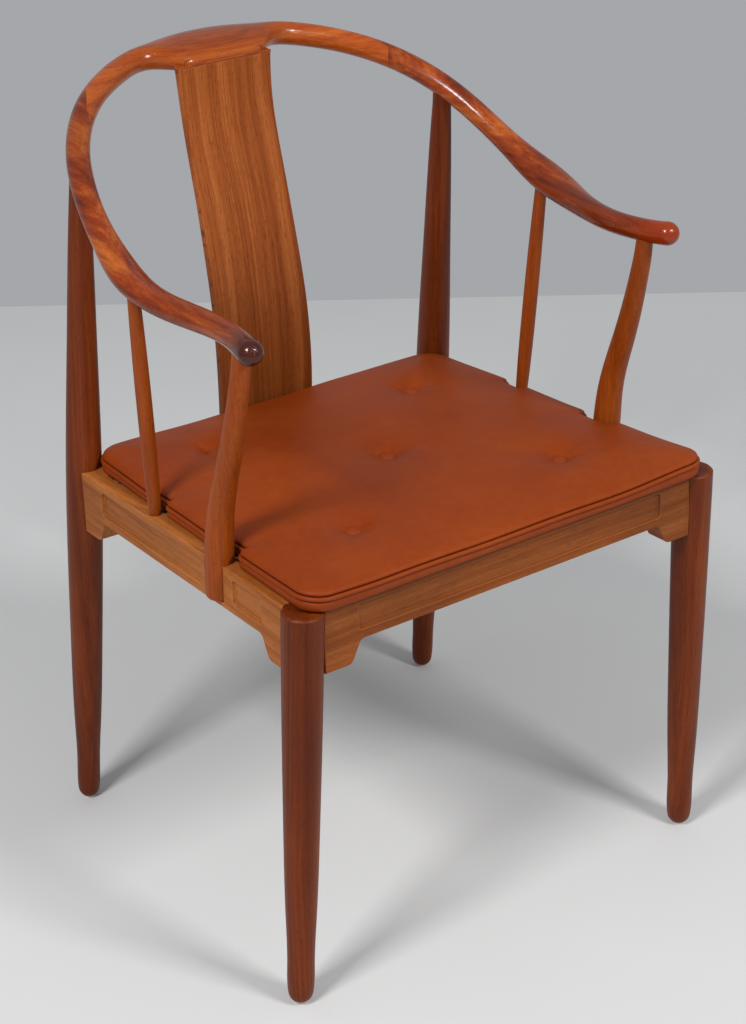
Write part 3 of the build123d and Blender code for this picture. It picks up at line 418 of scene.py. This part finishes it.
# The wider dimple and the folds round each button after that, and a soft unevenness.
DIMPLE, DIMPLE_REACH = 3.4, 27.0
FOLD_HEIGHT, FOLD_MIDDLE, FOLD_REACH = 0.42, 14.0, 10.0
# How many folds go round a button, how far each button turns them, and their share.
FOLD_PARTS = ((5, 1.7, 1.0), (9, 2.9, 0.6))
UNEVEN_HEIGHT = 1.5
# Waves per metre, place in the noise and share of each part of the unevenness.
UNEVEN_PARTS = ((9, 3.1, 0.7), (26, 7.7, 0.3))
# Dimples, folds and unevenness grow to their full strength over this reach from the rim.
FADE_REACH = 8.0
# The inner edge of the rails' tops, and the middles and half width of the bands.
LAND_FRONT, LAND_SLANT, LAND_REAR = 234.4, 12.78 / 410.32, 403.2
CROSS_ROWS, LONG_ROWS, BAND_HALF = (73.06, 161.06, 249.06, 337.06), (48.0, 144.0), 25.0
# How deep the underside sags: on to the bands at the sides and at the rear, and further between them.
SIDE_SAG, REAR_SAG, FREE_SAG = 1.8, 0.4, 2.1
FREE_START, FREE_RUN, LAND_RUN = 0.25, 4, 1.2
UNDERSIDE_TOP = 1.0
REAR_BEHIND, SIDE_BEHIND, SIDE_BEYOND = 390, 20, 180
# The settled edge: its wave, which rises towards the outline, and the lift over the front legs.
EDGE_HALF_WIDTH, EDGE_MIDDLE, EDGE_HALF_DEPTH, EDGE_POWER = 240, 190, 215, 6
WAVE_MEAN, WAVE_REACH, WAVE_SCALE, WAVE_PLACE = 1.4, 2.4, 0.011, 0.4
CORNER_LIFT, CORNER_X, CORNER_Y, CORNER_REACH = 3.0, 238, -12, 34.0
# Both start at this height over the seat plane and have their full strength a run further up.
SETTLED_FROM, SETTLED_RUN = 0.3, 4
# So many points are measured against the outline in one go.
CHUNK = 4000


# ---------------------------------------------------------------- cushion: outline
def edge_x(y):
    return PAD_WIDE + (PAD_NARROW - PAD_WIDE) * (y - PAD_FRONT) / (PAD_REAR - PAD_FRONT)


def pad_corners(grow):
    """Corners and radii of the pad's right half, notches included, from front to rear."""
    corners = [(PAD_WIDE + grow, PAD_FRONT - grow, FRONT_ROUND + grow)]
    for x, y, before, behind, inward, mouth, inner in NOTCHES:
        first, last, deep = y - before + grow, y + behind - grow, x - inward + grow
        corners += [
            (edge_x(first) + grow, first, mouth), (deep, first, inner),
            (deep, last, inner), (edge_x(last) + grow, last, mouth),
        ]
    return corners + [(PAD_NARROW + grow, PAD_REAR + grow, REAR_ROUND + grow)]


def rounded(corners):
    """Points along a closed outline whose corners are arcs."""
    points = []
    for i, (x, y, radius) in enumerate(corners):
        here = Vector((x, y))
        before = (Vector(corners[i - 1][:2]) - here).normalized()
        after = (Vector(corners[(i + 1) % len(corners)][:2]) - here).normalized()
        half = before.angle(after) / 2
        reach = radius / np.tan(half)
        centre = here + (before + after).normalized() * (radius / np.sin(half))
        start, stop = here + before * reach - centre, here + after * reach - centre
        turn = start.angle_signed(stop)
        pieces = max(3, int(abs(turn) * radius / RING_STEP) + 1)
        for k in range(pieces + 1):
            angle = -turn * k / pieces
            points.append(centre + Vector((start.x * cos(angle) - start.y * sin(angle),
                                           start.x * sin(angle) + start.y * cos(angle))))
    dense = []
    for a, b in zip(points, points[1:] + points[:1]):
        pieces = max(1, int((b - a).length / RING_STEP))
        dense += [a.lerp(b, k / pieces) for k in range(pieces)]
    return dense


def outline(grow):
    right_half = pad_corners(grow)
    return rounded(right_half + [(-x, y, radius) for x, y, radius in right_half[::-1]])


ring = np.array([p[:] for p in outline(-RING_INSET)])
onward = np.roll(ring, -1, 0) - np.roll(ring, 1, 0)
outward = np.stack([onward[:, 1], -onward[:, 0]], 1) / np.linalg.norm(onward, axis=1, keepdims=True)
count = len(ring)


def ring_at(inset):
    return ring + outward * (RING_INSET - inset)


def depth_in(points):
    """How far points lie inside the innermost ring, negative outside it."""
    edge = ring_at(INNERMOST)
    follow = np.roll(edge, -1, 0)
    climb = follow[:, 1] - edge[:, 1]
    slope = (follow[:, 0] - edge[:, 0]) / np.where(climb == 0, 1e-9, climb)
    near = np.empty(len(points))
    inside = np.zeros(len(points), bool)
    for start in range(0, len(points), CHUNK):
        some = points[start:start + CHUNK]
        near[start:start + CHUNK] = np.sqrt(((some[:, None] - edge[None]) ** 2).sum(2).min(1))
        crosses = (edge[None, :, 1] > some[:, None, 1]) != (follow[None, :, 1] > some[:, None, 1])
        at = edge[None, :, 0] + (some[:, None, 1] - edge[None, :, 1]) * slope[None]
        inside[start:start + CHUNK] = (crosses & (some[:, None, 0] < at)).sum(1) % 2 == 1
    return np.where(inside, near, -near)


def sheet(step):
    """Inner points and triangles of a sheet that fills the innermost ring; ring points come first."""
    rows = []
    for number, y in enumerate(np.arange(PAD_FRONT, PAD_REAR, step * ROW_SHARE)):
        shift = step / 2 if number % 2 else 0
        rows += [(x + shift, y) for x in np.arange(-PAD_WIDE, PAD_WIDE, step)]
    inner = np.array(rows)
    inner = inner[depth_in(inner) > RIM_SHARE * min(step, RIM_STEP_MOST)]
    points = np.concatenate([ring_at(INNERMOST), inner])
    lines = [(i, (i + 1) % count) for i in range(count)]
    found = geometry.delaunay_2d_cdt([Vector(p) for p in points], lines, [], 0, 1e-4, True)
    assert len(found[0]) == len(points)
    origin = np.array([ids[0] for ids in found[3]])
    triangles = origin[np.array([face[:] for face in found[2]])]
    return inner, triangles[depth_in(points[triangles].mean(1)) > 0]


# ---------------------------------------------------------------- cushion: mesh helpers
to_seat = np.array(seat.inverted())
from_seat = np.array(seat)


def local(points):
    """Seat-plane coordinates in millimetres."""
    return (points @ to_seat[:3, :3].T + to_seat[:3, 3]) * 1000


def world(points):
    """Metres in the chair's frame, from seat-plane coordinates in millimetres."""
    return (points / 1000) @ from_seat[:3, :3].T + from_seat[:3, 3]


def seat_mesh(name, points, faces):
    mesh = bpy.data.meshes.new(name)
    mesh.from_pydata(world(points).tolist(), [], faces)
    mesh.update()
    return mesh


def cushion_piece(name, mesh):
    """A piece that rides on the cushion's body."""
    obj = bpy.data.objects.new(name, mesh)
    scene.collection.objects.link(obj)
    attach(obj, "cushion")
    return obj


def finish_leather(obj):
    for face in obj.data.polygons:
        face.use_smooth = True
    dress(obj, hide)


def apply_modifiers(obj):
    graph = bpy.context.evaluated_depsgraph_get()
    mesh = bpy.data.meshes.new_from_object(obj.evaluated_get(graph), depsgraph=graph)
    old = obj.data
    obj.modifiers.clear()
    obj.data = mesh
    bpy.data.meshes.remove(old)


def points_of(mesh):
    flat = np.empty(len(mesh.vertices) * 3)
    mesh.vertices.foreach_get("co", flat)
    return flat.reshape(-1, 3)


def put_points(mesh, points):
    mesh.vertices.foreach_set("co", points.ravel())
    mesh.update()


def from_button(points, button):
    """Steps from a button's middle to points, and their lengths."""
    dx, dy = points[:, 0] - button[0], points[:, 1] - button[1]
    return dx, dy, np.hypot(dx, dy)


def settled(points):
    """The pad lies a little proud over the front legs, and its edge waves slightly."""
    moved = points.copy()
    for i, (x, y, z) in enumerate(points):
        edge = min(1.0, max(abs(x) / EDGE_HALF_WIDTH, abs(y - EDGE_MIDDLE) / EDGE_HALF_DEPTH)) ** EDGE_POWER
        wave = WAVE_MEAN + WAVE_REACH * noise.noise(Vector((x * WAVE_SCALE, y * WAVE_SCALE, WAVE_PLACE)))
        apart = (abs(x) - CORNER_X) ** 2 + (y - CORNER_Y) ** 2
        corner = np.exp(-apart / (2 * CORNER_REACH**2))
        share = min(1.0, max(0.0, z - SETTLED_FROM) / SETTLED_RUN)
        moved[i, 2] += (edge * wave + CORNER_LIFT * corner) * share
    return moved


# ---------------------------------------------------------------- cushion: pad
# A sewn edge, and an upper and a lower sheet that fill it.
inner_top, top_faces = sheet(TOP_STEP)
inner_bottom, bottom_faces = sheet(BOTTOM_STEP)
first_top = count * len(EDGE_PROFILE)
first_bottom = first_top + len(inner_top)
top_depth = depth_in(inner_top)


def level(plan, heights):
    return np.column_stack([plan, np.full(len(plan), heights)])


def edge_faces():
    """Faces between each line of the edge and the next."""
    made = []
    for lower in range(0, first_top - count, count):
        for i in range(count):
            j = (i + 1) % count
            made.append((lower + i, lower + j, lower + count + j, lower + count + i))
    return made


def placed(triangles, rim, inner):
    """A sheet's triangles in the pad's numbers, from where its rim and its inner points start."""
    numbers = np.where(triangles < count, triangles + rim, triangles - count + inner)
    return [tuple(face) for face in numbers.tolist()]


def pad_mesh(flat):
    faces = edge_faces()
    faces += placed(top_faces, first_top - count, first_top)
    faces += placed(bottom_faces, 0, first_bottom)
    mesh = seat_mesh("cushion_pad", flat, faces)
    shell = bmesh.new()
    shell.from_mesh(mesh)
    bmesh.ops.recalc_face_normals(shell, faces=shell.faces)
    shell.to_mesh(mesh)
    shell.free()
    return mesh


def blow_up(obj, free):
    """Air pressure lifts the free points; the others are pinned."""
    start = points_of(obj.data)
    held = obj.vertex_groups.new(name="held")
    held.add(np.nonzero(~free)[0].tolist(), 1.0, "REPLACE")
    cloth = obj.modifiers.new("cloth", "CLOTH")
    cloth.settings.quality = 6
    cloth.settings.mass = 0.4
    cloth.settings.tension_stiffness = 12
    cloth.settings.compression_stiffness = 12
    cloth.settings.shear_stiffness = 8
    cloth.settings.bending_stiffness = 0.8
    cloth.settings.use_pressure = True
    cloth.settings.uniform_pressure_force = PRESSURE
    cloth.settings.effector_weights.gravity = 0
    cloth.settings.vertex_group_mass = "held"
    cloth.point_cache.frame_start, cloth.point_cache.frame_end = 1, CLOTH_FRAMES
    for step in range(1, CLOTH_FRAMES + 1):
        scene.frame_set(step)
    apply_modifiers(obj)
    scene.frame_set(1)
    moved = points_of(obj.data) - start
    length = np.linalg.norm(moved, axis=1, keepdims=True)
    moved *= np.minimum(1, MOST_PUFF / np.maximum(length, 1e-9))
    put_points(obj.data, start + moved)


def draw_in(places):
    """Dimples and folds round the buttons, and a soft unevenness, on the upper sheet only."""
    share = np.zeros(len(places))
    share[first_top:first_bottom] = np.clip(top_depth / FADE_REACH, 0, 1)
    for number, button in enumerate(BUTTONS):
        dx, dy, far = from_button(places, button)
        turn = np.arctan2(dy, dx)
        band = np.exp(-((far - FOLD_MIDDLE) / FOLD_REACH) ** 2)
        folds = sum(np.sin(around * turn + start * number) * part for around, start, part in FOLD_PARTS)
        places[:, 2] += share * band * folds * FOLD_HEIGHT
        places[:, 2] -= share * np.exp(-(far / DIMPLE_REACH) ** 2) * DIMPLE
    for index in range(first_top, first_bottom):
        x, y = places[index, :2] / 1000
        soft = sum(noise.noise(Vector((x * scale, y * scale, place))) * part
                   for scale, place, part in UNEVEN_PARTS)
        places[index, 2] += share[index] * soft * UNEVEN_HEIGHT


def sag(on_band, beside, rows, to_land):
    """How deep the underside hangs over one rail: on to the bands, and lower between them."""
    free = np.min([np.abs(beside - row) for row in rows], axis=0) - BAND_HALF
    deep = on_band + FREE_SAG * np.clip(free / FREE_RUN - FREE_START, 0, 1)
    return deep * np.clip(to_land / LAND_RUN, 0, 1)


def let_down(places):
    """The underside sags into the rebates of the rails."""
    beyond, behind = np.abs(places[:, 0]), places[:, 1]
    side_sag = sag(SIDE_SAG, behind, CROSS_ROWS, LAND_FRONT - LAND_SLANT * behind - beyond)
    rear_sag = sag(REAR_SAG, beyond, LONG_ROWS, LAND_REAR - behind)
    under = places[:, 2] < UNDERSIDE_TOP
    at_rear = under & (behind > REAR_BEHIND)
    at_side = under & (beyond > SIDE_BEYOND) & (behind > SIDE_BEHIND) & ~at_rear
    places[at_side, 2] -= side_sag[at_side]
    places[at_rear, 2] -= rear_sag[at_rear]


rise = HIGHEST + DOME * (1 - np.exp(-top_depth / DOME_REACH))
for button in BUTTONS:
    rise -= FIRST_DIMPLE * np.exp(-(from_button(inner_top, button)[2] / FIRST_DIMPLE_REACH) ** 2)
flat = np.concatenate([level(ring_at(inset), height) for inset, height in EDGE_PROFILE]
                      + [level(inner_top, rise), level(inner_bottom, LOWEST)])
pad = cushion_piece("cushion_pad", pad_mesh(flat))
near_button = np.min([from_button(flat, button)[2] for button in BUTTONS], axis=0)
free = np.zeros(len(flat), bool)
free[first_top:first_bottom] = near_button[first_top:first_bottom] > PINNED_REACH
blow_up(pad, free)
places = local(points_of(pad.data))
draw_in(places)
surface = places.copy()
let_down(places)
put_points(pad.data, world(settled(places)))
finish_leather(pad)
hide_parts("cushion_cover_top", "cushion_cover_bottom", "cushion_core")

# ---------------------------------------------------------------- cushion: piping
WELT_SIDES = 14
WELT_UNEVENNESS, WELT_LUMPS, WELT_PLACE = 0.03, 0.35, 0.5


def welt_mesh(line):
    """A leather-covered cord, a little uneven, round a closed line of points."""
    vertices, faces = [], []
    for i, point in enumerate(line):
        onward = line[(i + 1) % len(line)] - line[i - 1]
        side = Vector((onward.y, -onward.x, 0)).normalized()
        for k in range(WELT_SIDES):
            angle = 2 * pi * k / WELT_SIDES
            lump = noise.noise(Vector((i * WELT_LUMPS, angle, WELT_PLACE)))
            reach = WELT_RADIUS * (1 + WELT_UNEVENNESS * lump)
            vertices.append(point + side * (cos(angle) * reach) + Vector((0, 0, sin(angle) * reach)))
    for i in range(len(line)):
        here, there = i * WELT_SIDES, (i + 1) % len(line) * WELT_SIDES
        for k in range(WELT_SIDES):
            n = (k + 1) % WELT_SIDES
            faces.append((here + k, there + k, there + n, here + n))
    return seat_mesh("cushion_piping", settled(np.array([v[:] for v in vertices])), faces)


welt_line = [Vector((x, y, WELT_MIDDLE)) for x, y in ring_at(WELT_RADIUS)]
welt = cushion_piece("cushion_piping", welt_mesh(welt_line))
finish_leather(welt)
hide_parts("cushion_welt")

# ---------------------------------------------------------------- cushion: buttons
# From the middle of the top round the rim to the middle of the underside: reach and height.
BUTTON_PROFILE = (
    (0.0, 2.6), (2.5, 2.45), (4.8, 2.0), (6.8, 1.3), (8.2, 0.3), (8.9, -0.8), (8.6, -2.0), (7.0, -2.8),
    (0.0, -3.0),
)
BUTTON_SIDES = 40
GATHERS, GATHER_DEPTH, GATHERED_BELOW = 10, 0.012, 1
BUTTON_RADIUS, BUTTON_STANDS = 9.0, 2.2
UPPER_SIDE = 10


def button_ring(mesh, reach, height):
    """One point in the middle, or a ring that is gathered towards the rim."""
    if reach == 0:
        return [mesh.verts.new((0, 0, height))]
    ring_points = []
    for k in range(BUTTON_SIDES):
        angle = 2 * pi * k / BUTTON_SIDES
        gather = 1 + (GATHER_DEPTH * sin(angle * GATHERS) if height < GATHERED_BELOW else 0)
        ring_points.append(mesh.verts.new((cos(angle) * reach * gather, sin(angle) * reach * gather, height)))
    return ring_points


def button_mesh():
    """A domed covered button round the origin, in millimetres."""
    mesh = bmesh.new()
    rings = [button_ring(mesh, reach, height) for reach, height in BUTTON_PROFILE]
    for upper, lower in zip(rings, rings[1:]):
        for k in range(BUTTON_SIDES):
            n = (k + 1) % BUTTON_SIDES
            if len(upper) == 1:
                mesh.faces.new((upper[0], lower[k], lower[n]))
            elif len(lower) == 1:
                mesh.faces.new((upper[k], lower[0], upper[n]))
            else:
                mesh.faces.new((upper[k], lower[k], lower[n], upper[n]))
    bmesh.ops.recalc_face_normals(mesh, faces=mesh.faces)
    made = bpy.data.meshes.new("button")
    mesh.to_mesh(made)
    mesh.free()
    return made


def buttons_mesh():
    """All five buttons, each on the lowest place of its dimple."""
    button = button_mesh()
    joined = bmesh.new()
    for x, y in BUTTONS:
        close = from_button(surface, (x, y))[2] < BUTTON_RADIUS
        lowest = float(surface[close & (surface[:, 2] > UPPER_SIDE)][:, 2].min())
        one = button.copy()
        one.transform(seat @ Matrix.Scale(0.001, 4) @ Matrix.Translation((x, y, lowest + BUTTON_STANDS)))
        joined.from_mesh(one)
        bpy.data.meshes.remove(one)
    mesh = bpy.data.meshes.new("cushion_button_caps")
    joined.to_mesh(mesh)
    joined.free()
    return mesh


buttons = cushion_piece("cushion_button_caps", buttons_mesh())
round_off = buttons.modifiers.new("round", "SUBSURF")
round_off.levels = round_off.render_levels = 1
finish_leather(buttons)
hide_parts("cushion_buttons")

# ---------------------------------------------------------------- floor
# It ends in a straight line behind the chair, where the plain backdrop begins.
FLOOR_TURN = radians(34.13)
FLOOR_FAR, FLOOR_NEAR, FLOOR_HALF = 1.49, -7.0, 7.0
FLOOR_DARK, FLOOR_LIGHT = (0.615, 0.615, 0.610), (0.655, 0.655, 0.650)
BACKDROP = (0.376, 0.387, 0.402, 1)

floor_ahead = Vector((sin(FLOOR_TURN), cos(FLOOR_TURN), 0))
floor_right = Vector((cos(FLOOR_TURN), -sin(FLOOR_TURN), 0))
near_edge, far_edge, to_side = floor_ahead * FLOOR_NEAR, floor_ahead * FLOOR_FAR, floor_right * FLOOR_HALF
floor_corners = (near_edge - to_side, near_edge + to_side, far_edge + to_side, far_edge - to_side)
floor_mesh = bpy.data.meshes.new("floor")
floor_mesh.from_pydata([c[:] for c in floor_corners], [], [(0, 1, 2, 3)])
floor_object = bpy.data.objects.new("floor", floor_mesh)
scene.collection.objects.link(floor_object)
floor_finish, tree = material("pale_floor")
cloudy = noise_at(tree, object_place(tree), scale=1.3, detail=4.0)
finish_shader(tree, {
    "Base Color": ramp(tree, cloudy, [(0.3, FLOOR_DARK), (0.7, FLOOR_LIGHT)]),
    "Roughness": 0.75,
})
dress(floor_object, floor_finish)

# ---------------------------------------------------------------- light
LIGHT_SIZE = 0.7
LIGHT_TARGET = Vector((0, 0, 0.45))

studio = bpy.data.worlds.new("studio")
scene.world = studio
studio.use_nodes = True
background = studio.node_tree.nodes["Background"]
background.inputs[0].default_value = BACKDROP
background.inputs[1].default_value = 1.0


def softbox(name, place, power):
    """A square area light that faces the chair."""
    data = bpy.data.lights.new(name, "AREA")
    data.shape = "SQUARE"
    data.size = LIGHT_SIZE
    data.energy = power
    obj = bpy.data.objects.new(name, data)
    scene.collection.objects.link(obj)
    obj.location = place
    obj.rotation_mode = "QUATERNION"
    obj.rotation_quaternion = (LIGHT_TARGET - Vector(place)).to_track_quat("-Z", "Y")


softbox("key_left", (-2.2, -0.75, 2.7), 69)
softbox("key_right", (0.55, -2.3, 2.6), 51)

# ---------------------------------------------------------------- camera
# As solved from the chair's own parallels: the focal length is in pixels of a picture this high.
CAMERA = Vector((-1.26451, -1.72959, 1.44843))
YAW, PITCH, ROLL = radians(36.770), radians(27.033), radians(-0.170)
FOCAL_PIXELS, PICTURE_HEIGHT = 2290, 1024
SENSOR = 36.0

ahead = Vector((sin(YAW) * cos(PITCH), cos(YAW) * cos(PITCH), -sin(PITCH)))
right = Vector((cos(YAW), -sin(YAW), 0))
up = right.cross(ahead)
right, up = right * cos(ROLL) + up * sin(ROLL), up * cos(ROLL) - right * sin(ROLL)
camera_data = bpy.data.cameras.new("camera")
camera_data.sensor_width = SENSOR
camera_data.lens = FOCAL_PIXELS * SENSOR / PICTURE_HEIGHT
camera_data.clip_start, camera_data.clip_end = 0.05, 60
camera = bpy.data.objects.new("camera", camera_data)
scene.collection.objects.link(camera)
camera.matrix_world = Matrix((
    (right.x, up.x, -ahead.x, CAMERA.x),
    (right.y, up.y, -ahead.y, CAMERA.y),
    (right.z, up.z, -ahead.z, CAMERA.z),
    (0, 0, 0, 1),
))
scene.camera = camera
scene.view_settings.view_transform = "Standard"
